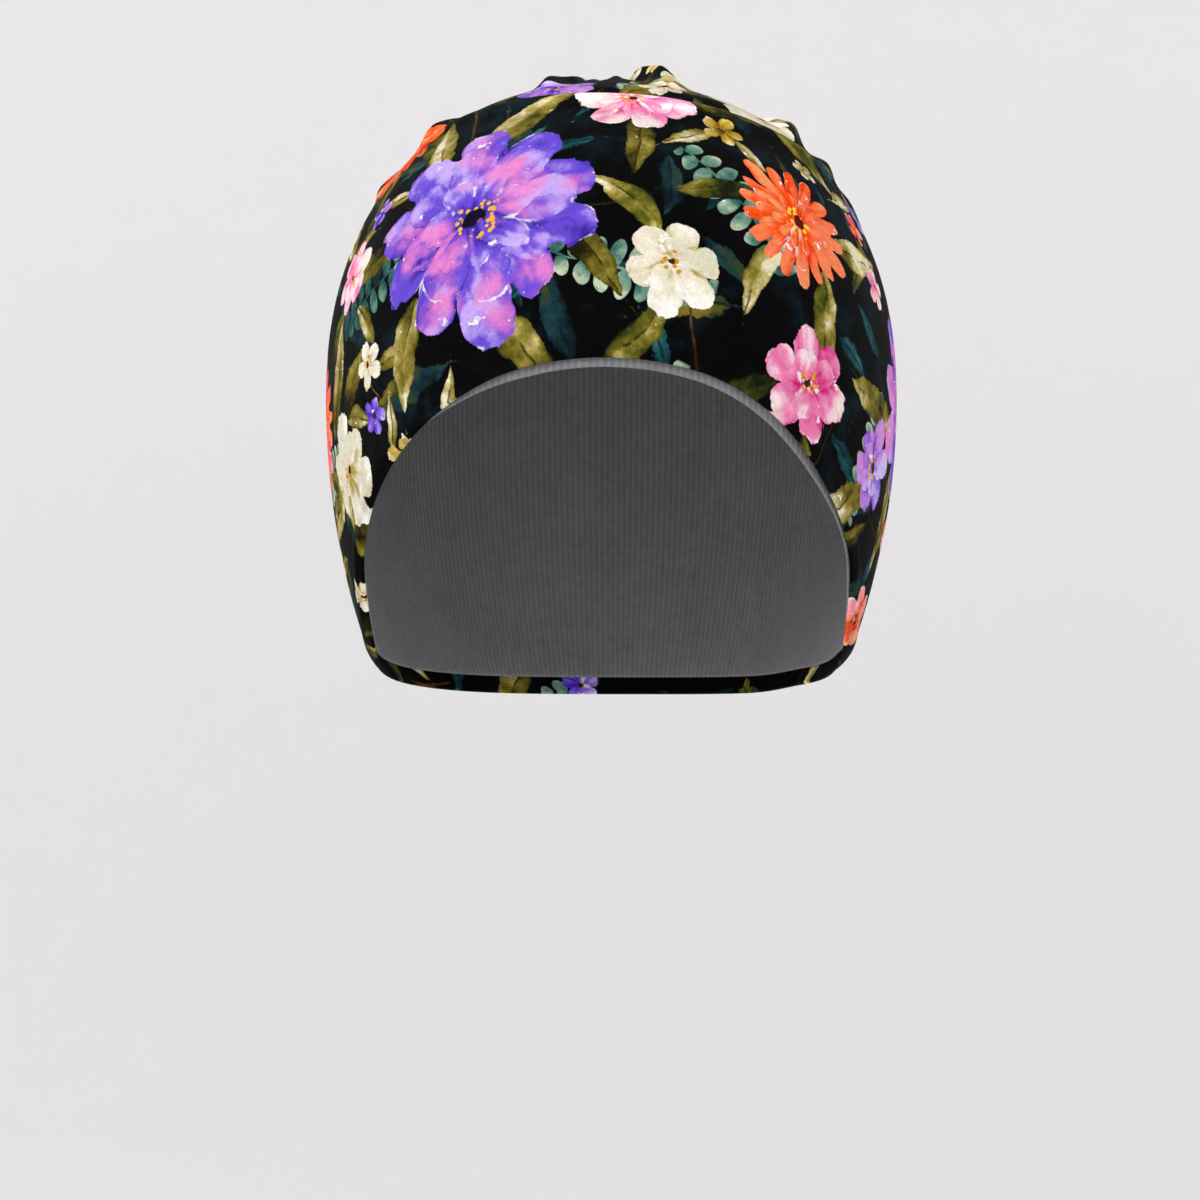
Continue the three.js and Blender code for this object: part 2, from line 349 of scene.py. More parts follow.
def place_in_scene(name, data, at=(0, 0, 0), turned=(0, 0, 0)):
    obj = bpy.data.objects.new(name, data)
    obj.location, obj.rotation_euler = at, turned
    bpy.context.scene.collection.objects.link(obj)
    return obj


def ring_of_edge(points, normals, radius, steps):
    """Rings that turn over an edge in a half round of a radius, from its outer face inward."""
    ahead = np.roll(points, -1, axis=0) - np.roll(points, 1, axis=0)
    outward = unit(np.cross(normals, unit(ahead)))
    if np.dot(outward[0], [0, 0, 1]) > 0:
        outward = -outward
    turns = np.linspace(0, np.pi, steps + 2)[1:-1]
    inward, outward = normals * radius, outward * radius
    return [points - inward * (1 - math.cos(t)) + outward * math.sin(t) for t in turns]


def closed_skin(name, poles, rings):
    """One closed mesh from rings of points, capped by a pole at each end. Its cloth UV map is in
    metres: along the knit's courses, and down its wales."""
    around = len(rings[0])
    points = np.concatenate([poles[:1], *rings, poles[1:]]) * MM
    last = len(points) - 1
    column = np.arange(around)
    beside = (column + 1) % around
    start = 1 + np.arange(len(rings) - 1)[:, None] * around
    below, end = start + around, last - around
    quads = np.stack([start + column, below + column, below + beside, start + beside], axis=-1)
    first_fan = np.stack([0 * column, 1 + column, 1 + beside], axis=-1)
    last_fan = np.stack([0 * column + last, end + beside, end + column], axis=-1)
    blocks = [quads.reshape(-1, 4), first_fan, last_fan]

    mesh = bpy.data.meshes.new(name)
    mesh.from_pydata(points, [], [face for block in blocks for face in block.tolist()])
    mesh.validate()
    mesh.shade_smooth()

    # A face that closes the round takes the end of the turn there, not its start.
    turn = np.concatenate([[0.5], np.tile(column / around, len(rings)), [0.5]])
    turns = [turn[block] for block in blocks]
    for shares in turns:
        shares[(np.ptp(shares, axis=1, keepdims=True) > 0.5) & (shares < 0.5)] = 1.0
    across = np.concatenate([shares.ravel() for shares in turns]) * 2 * math.pi * HALF_WIDTH * MM
    drop = np.linalg.norm(np.diff(points[1:-1].reshape(-1, around, 3), axis=0), axis=2)
    down = np.concatenate([np.zeros((1, around)), np.cumsum(drop, axis=0)]).ravel()
    down = np.concatenate([[0.0], down, [down.max()]])
    corners = np.concatenate([block.ravel() for block in blocks])
    layer = mesh.uv_layers.new(name="cloth")
    layer.uv.foreach_set("vector", np.stack([across, down[corners]], axis=-1).ravel())
    return place_in_scene(name, mesh)


def face_points(azimuth, share, inset, drop, shape):
    """Points and normals of one face of a layer, and the dome's points under them. share runs
    from 0 at the gather to 1 at the edge."""
    edge_tilt = tilt_at_height(azimuth, edge_height(azimuth) - drop(azimuth))
    azimuth, edge_tilt, share = np.broadcast_arrays(azimuth, edge_tilt, share)
    tilt = share * edge_tilt
    base = dome_point(tip_back(sphere_direction(azimuth, tilt), tilt))
    normal = dome_normal(base)
    lift, push = shape(azimuth.ravel(), tilt.ravel(), edge_tilt.ravel())
    lift, push = lift.reshape(azimuth.shape), push.reshape(base.shape)
    points = base + normal * (lift - inset)[..., None] + push
    return points + DOME_MIDDLE, normal, base + DOME_MIDDLE


def ring_shares(grid, face):
    """Shares of the way from the gather to the edge at which a face has its rings."""
    share = np.arange(1, grid[face] + 1)[:, None] / grid[face]
    if face == "hidden":
        share = share * (HIDDEN_CROWDING + (1 - HIDDEN_CROWDING) * share)
    return share


def cloth_layer(name, grid, outer_face, inner_face, inset, wall, drop, shape):
    """A layer of cloth: its outer face, a rounded edge and its inner face. Returns it with the
    dome's point under each of its points. drop is how far its edge lies below the shell's."""
    azimuth = 360.0 * np.arange(grid["around"]) / grid["around"] - 180.0
    outer_share = ring_shares(grid, outer_face)
    inner_share = ring_shares(grid, inner_face)[::-1]
    outer, normals, outer_base = face_points(azimuth, outer_share, inset, drop, shape)
    inner, _, inner_base = face_points(azimuth, inner_share, inset + wall, drop, shape)
    turned = ring_of_edge(outer[-1], normals[-1], wall / 2, grid["edge"])
    pole = np.zeros(1)
    outer_pole, _, pole_base = face_points(pole, pole, inset, drop, shape)
    inner_pole, _, _ = face_points(pole, pole, inset + wall, drop, shape)
    obj = closed_skin(name, np.concatenate([outer_pole, inner_pole]), [*outer, *turned, *inner])
    turned_base = np.tile(outer_base[-1], (len(turned), 1))
    base = [pole_base, outer_base.reshape(-1, 3), turned_base, inner_base.reshape(-1, 3), pole_base]
    return obj, np.concatenate(base)


def crown_shell():
    sizes = 0.0, SHELL_WALL
    return cloth_layer(
        "crown_shell_cloth", SHELL_GRID, "seen", "hidden", *sizes, np.zeros_like, shell_folds
    )


def lining():
    sizes = LINING_INSET, LINING_WALL
    return cloth_layer(
        "lining_cloth", LINING_GRID, "hidden", "seen", *sizes, lining_drop, lining_folds
    )


# ---------------- print layout
# The print is a tossed pattern of flowers and leaves. Each motif lies on the dome under the cloth,
# so the folds carry it with them. The motifs of one kind share a channel: a colour attribute that
# gives each point its place in the nearest of them.

# Flowers as azimuth from the face and tilt from straight up in degrees, then radius in
# millimetres, turn in degrees and colour.
ANEMONES = [
    (-25, 62, 37, 20, "violet"),
    (86, 92, 31, 75, "violet"),
    (-134, 94, 36, -40, "violet"),
    (170, 48, 31, 10, "violet"),
]
GERBERAS = [
    (37, 61, 21, 0, "orange"),
    (-84, 96, 23, 30, "coral"),
    (166, 110, 27, -20, "orange"),
    (120, 62, 19, 50, "coral"),
    (-76, 38, 20, 15, "orange"),
]
BLOSSOMS = [
    (7, 33, 17, 20, "pink"),
    (10, 71, 14, -15, "cream"),
    (57, 103, 14, 40, "lilac"),
    (34, 89, 17, 70, "pink"),
    (-57, 104, 16, -30, "cream"),
    (64, 30, 15, 80, "cream"),
    (-62, 68, 12, 10, "pink"),
    (136, 88, 17, 0, "peach"),
    (-112, 54, 17, 60, "cream"),
    (-172, 78, 17, -25, "pink"),
    (-98, 128, 15, 20, "pink"),
    (118, 124, 17, -50, "cream"),
    (-158, 128, 16, 15, "cream"),
    (-146, 50, 14, 33, "peach"),
    (112, 26, 12, -70, "pink"),
    (-30, 20, 12, 45, "lilac"),
    (64, 130, 12, 15, "peach"),
]
ANEMONE_PALETTE = ["violet"]
BLOSSOM_PALETTE = ["pink", "cream", "peach", "lilac"]
GERBERA_PALETTE = ["orange", "coral"]
FLORET_PALETTE = ["pink", "cream", "gold", "lilac", "coral"]
FLORET_COLOURS = ["pink", "cream", "gold", "lilac", "lilac", "coral"]
COLOUR_SPREAD = (0.05, 0.95)

# Motifs thrown at random: how many, their shortest and longest size, slimness and gap in
# millimetres. TRIES is how often one is thrown for each that is wanted.
Toss = namedtuple("Toss", "count sizes slim gap")
LEAF_SLIM, STEM_SLIM, SPRIG_SLIM = 0.42, 0.16, 0.3
FLORETS = Toss(52, (4.5, 8.0), 1.0, 1.0)
TOSSES = {
    "sprig": Toss(20, (18, 26), SPRIG_SLIM, 0.5),
    "stem": Toss(60, (16, 26), STEM_SLIM, 0.0),
    "shade_a": Toss(80, (10, 18), LEAF_SLIM, 0.3),
    "shade_b": Toss(110, (5, 11), LEAF_SLIM, 0.3),
}
PRINT_SEED, TRIES, LOWEST_COSINE = 7, 40, -0.8

# Leaves look out from under a flower: for each channel how many and how long, half a leaf in
# millimetres. Then how far they stray from even turns, their length and seat in shares of
# the leaf's and the flower's size, the share of the half leaf outside its seat, and its swing.
LEAFING = {"leaf_a": (7, 17), "leaf_b": (6, 16), "leaf_c": (3, 9)}
LEAF_JITTER, LEAF_LENGTHS, LEAF_SEATS = 0.2, (0.75, 1.2), (0.75, 0.95)
LEAF_OUTSIDE, LEAF_SWING, LEAF_GAP = 0.8, 32, 0.3

# Petal colours: a pale wash, its body, the pigment that pools at the base and edges, a second
# colour that bleeds in, and the stamens.
WASHES = {
    "violet": ("c4a8f0", "6a4cd2", "34209a", "ee84c6", "f3b33a"),
    "orange": ("ff9a62", "ff5206", "c41002", "ff8458", "ffd24a"),
    "coral": ("ffb4b4", "fa5c60", "c8163c", "ff7e28", "ffc03a"),
    "pink": ("ffdfe8", "f680b6", "d41c7c", "ffeee2", "f0a020"),
    "cream": ("fffaf0", "eee4cc", "a89a48", "d8d4b8", "d08c10"),
    "peach": ("fff0dc", "ffac80", "ec5030", "ff94ac", "9c2414"),
    "lilac": ("d8c8fa", "7c5cdc", "4428b8", "d488dc", "f2c230"),
    "gold": ("f2e6b0", "c8a434", "7a5c0a", "e8dca0", "6a3208"),
}

Motif = namedtuple("Motif", "centre along across size slim seed")

# A channel reaches NEAR_REACH sizes from each motif, and holds FAR beyond them and on the borders
# between them. A motif is painted up to PAINTED_REACH sizes out.
NEAR_REACH, PAINTED_REACH, FAR = 1.5, 1.45, 9.0

# How often each point's rise is averaged with its neighbours', to find the folds' valleys,
# which get painted shade, and their ridges, which get painted light.
FOLD_SHADE_PASSES = 90


def on_dome(point):
    """The dome's point in a point's direction, as a place on the cloth with its normal."""
    base = dome_point(unit(point - DOME_MIDDLE))
    return base + DOME_MIDDLE, dome_normal(base)


def motif_at(point, along, size, slim, seed):
    """A motif laid flat on the dome at a point, running along a direction."""
    centre, normal = on_dome(point)
    along = unit(along - normal * (along @ normal))
    return Motif(centre, along, np.cross(normal, along), size, slim, seed)


def colour_seed(colour, palette, chance):
    """A seed that picks a colour from a palette and varies within it."""
    return (palette.index(colour) + chance.uniform(*COLOUR_SPREAD)) / len(palette)


def flower(azimuth, tilt, radius, turn, colour, palette, chance):
    centre, normal = on_dome(sphere_direction(azimuth, tilt) + DOME_MIDDLE)
    level = np.cross([0.0, 0.0, 1.0], normal)
    turn = math.radians(turn)
    along = level * math.cos(turn) + np.cross(normal, level) * math.sin(turn)
    return motif_at(centre, along, radius, 1.0, colour_seed(colour, palette, chance))


def spots(motif):
    """Circles that cover a motif as rows of centre and radius: one, or four along a slim one."""
    if motif.slim == 1.0:
        return np.array([[*motif.centre, motif.size]])
    steps = np.array([-0.75, -0.25, 0.25, 0.75])[:, None]
    centres = motif.centre + motif.along * motif.size * steps
    return np.column_stack([centres, np.full(len(steps), motif.size * motif.slim)])


class Taken:
    """Motifs that keep clear of each other and of some others."""

    def __init__(self, others=()):
        self.motifs = []
        self.circles = np.concatenate([np.empty((0, 4)), *map(spots, others)])

    def add_if_clear(self, motif, gap):
        mine = spots(motif)
        between = np.linalg.norm(self.circles[:, None, :3] - mine[None, :, :3], axis=2)
        if (between - self.circles[:, None, 3] - mine[None, :, 3] > gap).all():
            self.motifs.append(motif)
            self.circles = np.concatenate([self.circles, mine])


def random_motif(sizes, slim, seed, chance):
    """A motif anywhere on the cap, evenly spread, turned any way."""
    tilt = math.degrees(math.acos(chance.uniform(LOWEST_COSINE, 1)))
    place = sphere_direction(chance.uniform(-180, 180), tilt)
    return motif_at(place + DOME_MIDDLE, chance.normal(size=3), chance.uniform(*sizes), slim, seed)


def scatter(toss, chance, others=(), seed_of=None):
    """Motifs thrown at random where they are clear of each other and of the others."""
    taken = Taken(others)
    for _ in range(TRIES * toss.count):
        seed = seed_of() if seed_of else chance.random()
        taken.add_if_clear(random_motif(toss.sizes, toss.slim, seed, chance), toss.gap)
        if len(taken.motifs) == toss.count:
            break
    return taken.motifs


def leaves_round(flowers, count, half_length, chance):
    """Leaves that look out from under each flower, clear of the others of their channel."""
    taken = Taken()
    for parent in flowers:
        start = chance.uniform(0, 2 * math.pi)
        for i in range(count):
            turn = start + 2 * math.pi * (i + chance.uniform(-LEAF_JITTER, LEAF_JITTER)) / count
            out = parent.along * math.cos(turn) + parent.across * math.sin(turn)
            side = parent.across * math.cos(turn) - parent.along * math.sin(turn)
            half = half_length * chance.uniform(*LEAF_LENGTHS)
            away = parent.size * chance.uniform(*LEAF_SEATS) + LEAF_OUTSIDE * half
            swing = math.radians(chance.uniform(-LEAF_SWING, LEAF_SWING))
            axis = out * math.cos(swing) + side * math.sin(swing)
            leaf = motif_at(parent.centre + out * away, axis, half, LEAF_SLIM, chance.random())
            taken.add_if_clear(leaf, LEAF_GAP)
    return taken.motifs


def lay_painted_fold_shade(obj, base, edges):
    """Stores how far each point lies below the cloth round it, in millimetres, as painted shade in
    the folds' valleys and painted light on their ridges."""
    points = np.empty(3 * len(base))
    obj.data.vertices.foreach_get("co", points)
    rise = np.linalg.norm(points.reshape(-1, 3) / MM - base, axis=1)
    first, second = edges.T
    neighbours = np.bincount(edges.ravel(), minlength=len(base))
    level = rise
    for _ in range(FOLD_SHADE_PASSES):
        from_second = np.bincount(first, level[second], len(base))
        from_first = np.bincount(second, level[first], len(base))
        level = (from_second + from_first) / neighbours
    # The stored value is painted shade: above 0 in the folds' valleys, below 0 on their ridges.
    painted_fold_shade = obj.data.attributes.new("painted_fold_shade", "FLOAT", "POINT")
    painted_fold_shade.data.foreach_set("value", level - rise)


def lay(obj, channel, base, edges, motifs):
    """Stores a channel: each point's place along and across its nearest motif in shares of the
    motif's size, the motif's seed, and the distance that chose it."""
    nearest = np.full((len(base), 4), FAR)
    owner = np.full(len(base), -1)
    for index, motif in enumerate(motifs):
        away = base - motif.centre
        distance = np.linalg.norm(away, axis=1)
        near = np.flatnonzero(distance < NEAR_REACH * motif.size)
        away, distance = away[near], distance[near]
        flat = np.stack([away @ motif.along, away @ motif.across], axis=1)
        flat *= (distance / np.maximum(np.linalg.norm(flat, axis=1), 1e-6) / motif.size)[:, None]
        reach = np.hypot(flat[:, 0], flat[:, 1] / motif.slim)
        closer = reach < nearest[near, 3]
        seed = np.full(len(near), motif.seed)
        nearest[near[closer]] = np.column_stack([flat, seed, reach])[closer]
        owner[near[closer]] = index
    low, high = np.sort(owner[edges], axis=1).T
    border = edges[(low >= 0) & (low < high)]
    nearest[border[np.arange(len(border)), owner[border].argmax(axis=1)], 3] = FAR
    layer = obj.data.attributes.new(channel, "FLOAT_COLOR", "POINT")
    layer.data.foreach_set("color", nearest.ravel())


def lay_print(obj, base):
    """Lays all motifs and stores their channels, and the folds' painted shade and light, on a mesh.
    """
    chance = np.random.default_rng(PRINT_SEED)
    anemones = [flower(*row, ANEMONE_PALETTE, chance) for row in ANEMONES]
    gerberas = [flower(*row, GERBERA_PALETTE, chance) for row in GERBERAS]
    blossoms = [flower(*row, BLOSSOM_PALETTE, chance) for row in BLOSSOMS]

    def floret_seed():
        return colour_seed(chance.choice(FLORET_COLOURS), FLORET_PALETTE, chance)

    florets = scatter(FLORETS, chance, anemones + gerberas + blossoms, floret_seed)
    channels = {"anemone": anemones, "gerbera": gerberas, "blossom": blossoms, "floret": florets}
    parents = anemones + blossoms[::2], gerberas + blossoms[1::2], florets
    for (name, leafing), flowers in zip(LEAFING.items(), parents):
        channels[name] = leaves_round(flowers, *leafing, chance)
    for name, toss in TOSSES.items():
        channels[name] = scatter(toss, chance)
    edges = np.empty((len(obj.data.edges), 2), dtype=int)
    obj.data.edges.foreach_get("vertices", edges.ravel())
    lay_painted_fold_shade(obj, base, edges)
    for channel, motifs in channels.items():
        lay(obj, channel, base, edges, motifs)


# ---------------- shader nodes


def linear(code):
    """A hex colour as the linear RGBA that a shader socket takes."""
    shares = [int(code[i : i + 2], 16) / 255 for i in (0, 2, 4)]
    return (*[c / 12.92 if c <= 0.04045 else ((c + 0.055) / 1.055) ** 2.4 for c in shares], 1.0)


class Value:
    """A number or colour that a node gives. Arithmetic on it adds Math nodes."""

    def __init__(self, nodes, socket):
        self.nodes, self.socket = nodes, socket

    def math(self, operation, *others):
        return self.nodes.math(operation, self, *others)

    def __add__(self, other):
        return self.math("ADD", other)

    def __mul__(self, other):
        return self.math("MULTIPLY", other)

    def __truediv__(self, other):
        return self.math("DIVIDE", other)

    def __sub__(self, other):
        return self.math("SUBTRACT", other)

    def __rsub__(self, other):
        return self.nodes.math("SUBTRACT", other, self)

    def __abs__(self):
        return self.math("ABSOLUTE")

    def scaled(self, factor, offset=0.0):
        return self.math("MULTIPLY_ADD", factor, offset)

    def swing(self, size):
        """A 0 to 1 value as one that swings by size/2 either side of 0."""
        return self.scaled(size, -size / 2)

    def smooth(self, start, end):
        """A smooth rise from 0 at start to 1 at end, which may lie below start."""
        inputs = {"Value": self, "From Min": start, "From Max": end}
        return self.nodes.give("MapRange", inputs, interpolation_type="SMOOTHSTEP")


class Nodes:
    """Adds nodes to a tree. Inputs are numbers, tuples or values. A colour goes only into colour
    sockets and a vector into vector ones, because Cycles works out what it has to convert last
    and then holds too many values at once."""

    def __init__(self, tree):
        self.tree = tree

    def feed(self, node, inputs):
        """Sets a node's inputs, or links them to values."""
        for key, value in dict(inputs).items():
            if isinstance(value, Value):
                self.tree.links.new(value.socket, node.inputs[key])
            else:
                node.inputs[key].default_value = value

    def add(self, kind, inputs=(), **settings):
        """The outputs of a new node."""
        node = self.tree.nodes.new("ShaderNode" + kind)
        for name, value in settings.items():
            setattr(node, name, value)
        self.feed(node, inputs)
        return node.outputs

    def give(self, kind, inputs=(), output=0, **settings):
        """One output of a new node as a value."""
        return Value(self, self.add(kind, inputs, **settings)[output])

    def math(self, operation, *values):
        return self.give("Math", enumerate(values), operation=operation)

    def mix(self, share, under, over):
        return self.give("Mix", {0: share, 6: under, 7: over}, output=2, data_type="RGBA")

    def shade(self, colour, factor):
        """A colour made darker or lighter by a factor."""
        return self.give("VectorMath", {0: colour, "Scale": factor}, operation="SCALE")

    def split(self, vector, kind="XYZ"):
        """The three numbers of a vector, or of a colour."""
        return [Value(self, output) for output in self.add("Separate" + kind, {0: vector})]

    def place(self):
        return self.give("TexCoord", output="Object")

    def cloth_place(self):
        """The way across and down the cloth in metres."""
        return self.split(self.give("UVMap", uv_map="cloth"))[:2]

    def noise(self, place, scale, detail, roughness, output=0):
        inputs = {"Vector": place, "Scale": scale, "Detail": detail, "Roughness": roughness}
        return self.give("TexNoise", inputs, output)

    def noises(self, *settings):
        """Three noises of the same settings."""
        return self.split(self.noise(*settings, output="Color"), "Color")

    def ramp(self, value, colours, steps=False):
        """Evenly spaced colours along a value from 0 to 1, or equal steps of them."""
        sampled = self.add("ValToRGB", {0: value})[0]
        band = sampled.node.color_ramp
        band.interpolation = "CONSTANT" if steps else "LINEAR"
        while len(band.elements) < len(colours):
            band.elements.new(0.5)
        last = len(colours) if steps else len(colours) - 1
        for i in range(len(colours)):
            band.elements[i].position = i / last
        for i, colour in enumerate(colours):
            band.elements[i].color = linear(colour)
        return Value(self, sampled)


# ---------------- the printed knit

# Noises of the paint as scale, detail and roughness: the wet washes, how they bleed, the sway of
# all outlines, the grain and tooth of the paint, and the flecks that the brush skipped.
WASH_NOISE, BLEED_NOISE, SWAY_NOISE = (42, 3, 0.55), (120, 4, 0.6), (105, 1, 0.5)
GRAIN_NOISE, TOOTH_NOISE, FLECK_NOISE = (900, 3, 0.7), (330, 4, 0.65), (180, 3, 0.6)
FIBRE_NOISE = {"Scale": 650.0, "Detail": 1.0, "Distortion": 1.8}
DOT_SCALE, SWAY_SIZE = 520.0, 1.1

INK, PAPER = linear("050506"), linear("faf6f0")
WATER = ["080c0e", "0a1c22", "103038"]
OLIVE = ["1c1a06", "443e10", "6c621e", "8e8036", "bcac6c", "eee6c8"]
MOSS = ["161c0c", "323810", "585818", "82782c", "b6a65e", "eae0b8"]
TEAL = ["081a20", "0e3038", "16464e", "22585a", "3c6c62"]
SHADE = ["0c161a", "10262c", "183a40", "34401c", "5c5820", "7c6c28"]
STEM = ["2a1c0e", "4a3416", "7a5c24"]
EUCALYPTUS = ["10282a", "24504c", "46766a", "80a08a", "c8d4b4"]

# Foliage from the ground up: its channel, the size of its motifs and their wobble in millimetres,
# its width in shares of its length, or its pairs of leaflets, its colours, and how ragged it is.
Foliage = namedtuple("Foliage", "channel size wobble shape colours ragged")
UNDERGROWTH = [
    Foliage("shade_a", 14, 4, 0.36, SHADE, 1.2),
    Foliage("shade_b", 8, 3, 0.34, TEAL, 0.9),
    Foliage("stem", 20, 2, 0.03, STEM, 0.2),
]
SPRIGS = Foliage("sprig", 22, 2, 4.5, EUCALYPTUS, 0.3)
LEAVES = [
    Foliage("leaf_c", 9, 2, 0.42, OLIVE, 0.7),
    Foliage("leaf_b", 16, 4, 0.4, MOSS, 0.7),
    Foliage("leaf_a", 17, 4, 0.4, OLIVE, 0.7),
]

# Blooms, smallest first: their channel, size and wobble, the palette of their seeds, the rings of
# petals from the outside in, and the radius of the eye and of its stamens, and the eye's colour.
Ring = namedtuple("Ring", "petals notch size turn")
Bloom = namedtuple("Bloom", "channel size wobble palette rings core halo eye")
FLORET_RINGS = [Ring(5, 0.5, 1.05, 0.2)]
BLOSSOM_RINGS = [Ring(6, 0.34, 1.05, 0.1), Ring(5, 0.3, 0.64, 0.6)]
GERBERA_RINGS = [Ring(17, 0.42, 1.06, 0.0), Ring(15, 0.45, 0.78, 0.4), Ring(11, 0.5, 0.5, 0.8)]
ANEMONE_RINGS = [Ring(10, 0.3, 1.08, 0.0), Ring(8, 0.32, 0.8, 0.35), Ring(7, 0.34, 0.5, 0.7)]
BLOOMS = [
    Bloom("floret", 6, 2, FLORET_PALETTE, FLORET_RINGS, 0.14, 0.34, "3a2410"),
    Bloom("blossom", 16, 5, BLOSSOM_PALETTE, BLOSSOM_RINGS, 0.09, 0.26, "40260e"),
    Bloom("gerbera", 25, 4, GERBERA_PALETTE, GERBERA_RINGS, 0.11, 0.25, "5a1408"),
    Bloom("anemone", 34, 6, ANEMONE_PALETTE, ANEMONE_RINGS, 0.09, 0.19, "140a24"),
]

# A channel's place along and across its motif, the motif's seed, whether a motif is near, and
# one millimetre in shares of the motif's size.
Channel = namedtuple("Channel", "x y seed near mm")


class Print(Nodes):
    """Watercolour motifs, painted one layer over another on a near-black ground."""

    def __init__(self, tree):
        super().__init__(tree)
        where = self.place()
        self.wash = self.noises(where, *WASH_NOISE)
        self.bleed = self.noises(where, *BLEED_NOISE)
        self.sway = [share.swing(SWAY_SIZE) for share in self.noises(where, *SWAY_NOISE)[:2]]
        self.grain = self.noise(where, *GRAIN_NOISE)
        self.tooth = self.noise(where, *TOOTH_NOISE)

        # Small round dabs of the brush, for the eyes of the flowers.
        cell = self.give("TexVoronoi", {"Vector": where, "Scale": DOT_SCALE}, "Distance")
        self.dots = cell.smooth(0.46, 0.36)

        # Sparse ragged flecks of bare cloth that the brush skipped.
        skipped = self.noise(where, *FLECK_NOISE).smooth(0.64, 0.65)
        self.flecks = skipped * self.bleed[1].smooth(0.46, 0.52)

        # Fine curled fibres of the cloth, which show pale in the washes.
        curl = self.give("TexNoise", {"Vector": where, **FIBRE_NOISE})
        self.fibres = abs(curl.swing(2.0)).smooth(0.14, 0.0)

    def channel(self, kind):
        """The channel of a kind of motif, whose places wobble."""
        stored = self.add("Attribute", attribute_name=kind.channel)
        *place, seed = self.split(Value(self, stored["Color"]), "Color")
        share = kind.wobble / kind.size
        x, y = (sway.scaled(share, at) for sway, at in zip(self.sway, place))
        near = Value(self, stored["Alpha"]).smooth(PAINTED_REACH, PAINTED_REACH - 0.04)
        return Channel(x, y, seed, near, 1 / kind.size)

    def cut(self, inside, channel, ragged=1.0):
        """The painted area, with an edge ragged by so many millimetres."""
        size = ragged * channel.mm
        rough = inside + self.tooth.swing(3.2 * size) + self.grain.swing(0.8 * size)
        return rough.smooth(-0.1 * channel.mm, 0.25 * channel.mm) * channel.near

    def petals(self, channel, ring):
        """A ring of petals: how far inside its outline a place is, its radius, its turn in petals,
        where it is across its petal from -1 to 1, and the petal's tint."""
        radius = (channel.x * channel.x + channel.y * channel.y).math("SQRT")
        share = channel.y.math("ARCTAN2", channel.x).scaled(1 / (2 * math.pi), 0.5)
        petal = (share * ring.petals + ring.turn).math("FLOORED_MODULO", ring.petals)
        across = petal.math("FRACT").scaled(2.0, -1.0)
        # The seed is rounded, because white noise would tear it apart at its last digits.
        whole = (channel.seed * 999.0).math("ROUND")
        draw = petal.math("FLOOR") + whole * 20.0 + ring.turn
        tint = self.give("TexWhiteNoise", {"W": draw}, noise_dimensions="1D")
        lobe = abs(across).math("POWER", 2.6) * ring.notch
        rim = tint.scaled(-0.16, 1.0) * ring.size * (1.0 - lobe)
        return rim - radius, radius, petal, across, tint

    def petal_ring(self, under, channel, ring, colours):
        """One ring of petals: a wet wash that pools into darker pigment at its base and edge."""
        mm = channel.mm
        pale, body, deep, accent = colours
        inside, radius, petal, across, tint = self.petals(channel, ring)
        area = self.cut(inside, channel)
        brushed = petal * 2.6 + radius * 0.6 + channel.seed * 50.0
        streak = self.give("TexNoise", {"W": brushed, "Scale": 1.0}, noise_dimensions="1D")
        depth = (
            radius.smooth(ring.size, ring.size * 0.15).scaled(0.75, 0.1)
            + self.wash[0].swing(2.6)
            + self.bleed[1].swing(1.5)
            + streak.swing(1.1)
            + tint.swing(0.4)
            + self.grain.swing(0.5)
            + across.smooth(0.0, 1.0).scaled(0.24)
            + inside.smooth(2.2 * mm, 0.0).scaled(0.22)
        )
        colour = self.mix(depth.smooth(-0.15, 0.5), pale, body)
        colour = self.mix(depth.smooth(0.5, 1.25), colour, deep)
        bled = self.wash[1].smooth(0.47, 0.6) * depth.smooth(1.1, 0.2) * 0.85
        colour = self.mix(bled, colour, accent)
        to_side = abs(across).scaled(-1.0, 1.0) * radius * (math.pi / ring.petals)
        rim = inside.smooth(0.9 * mm, 0.3 * mm)
        bare = to_side.smooth(0.9 * mm, 0.2 * mm).math("MAXIMUM", rim)
        bare = bare * self.bleed[2].smooth(0.5, 0.62) * 0.8
        return self.mix(area, under, self.mix(bare, colour, PAPER)), radius

    def bloom(self, under, kind):
        """Flowers: rings of petals round a dark eye in a ring of bright stamens."""
        channel = self.channel(kind)
        *washes, stamens = self.washes(channel.seed, kind.palette)
        for ring in kind.rings:
            under, radius = self.petal_ring(under, channel, ring, washes)
        rough = radius + self.tooth.swing(3.0 * channel.mm)
        halo = rough.smooth(kind.halo, kind.halo * 0.85) * self.dots * channel.near
        core = rough.smooth(kind.core, kind.core * 0.8) * channel.near
        return self.mix(core, self.mix(halo, under, stamens), linear(kind.eye))

    def washes(self, seed, palette):
        """The colours of WASHES that a seed picks from a palette by equal steps."""
        rows = zip(*(WASHES[name] for name in palette))
        if len(palette) == 1:
            return [linear(code) for (code,) in rows]
        return [self.ramp(seed, codes, steps=True) for codes in rows]

    def leaf(self, channel, width):
        """A pointed leaf that bends to one side: how far inside its outline a place is, its share
        along the leaf, and how far it is off the midrib, signed."""
        along = channel.x
        off = channel.y + (1.0 - along * along) * channel.seed.swing(0.36)
        share = self.give("Clamp", {0: along.scaled(0.5, 0.5)})
        belly = share.math("POWER", 0.75) * (1.0 - share)
        return belly * width * 2.4 - abs(off), share, off

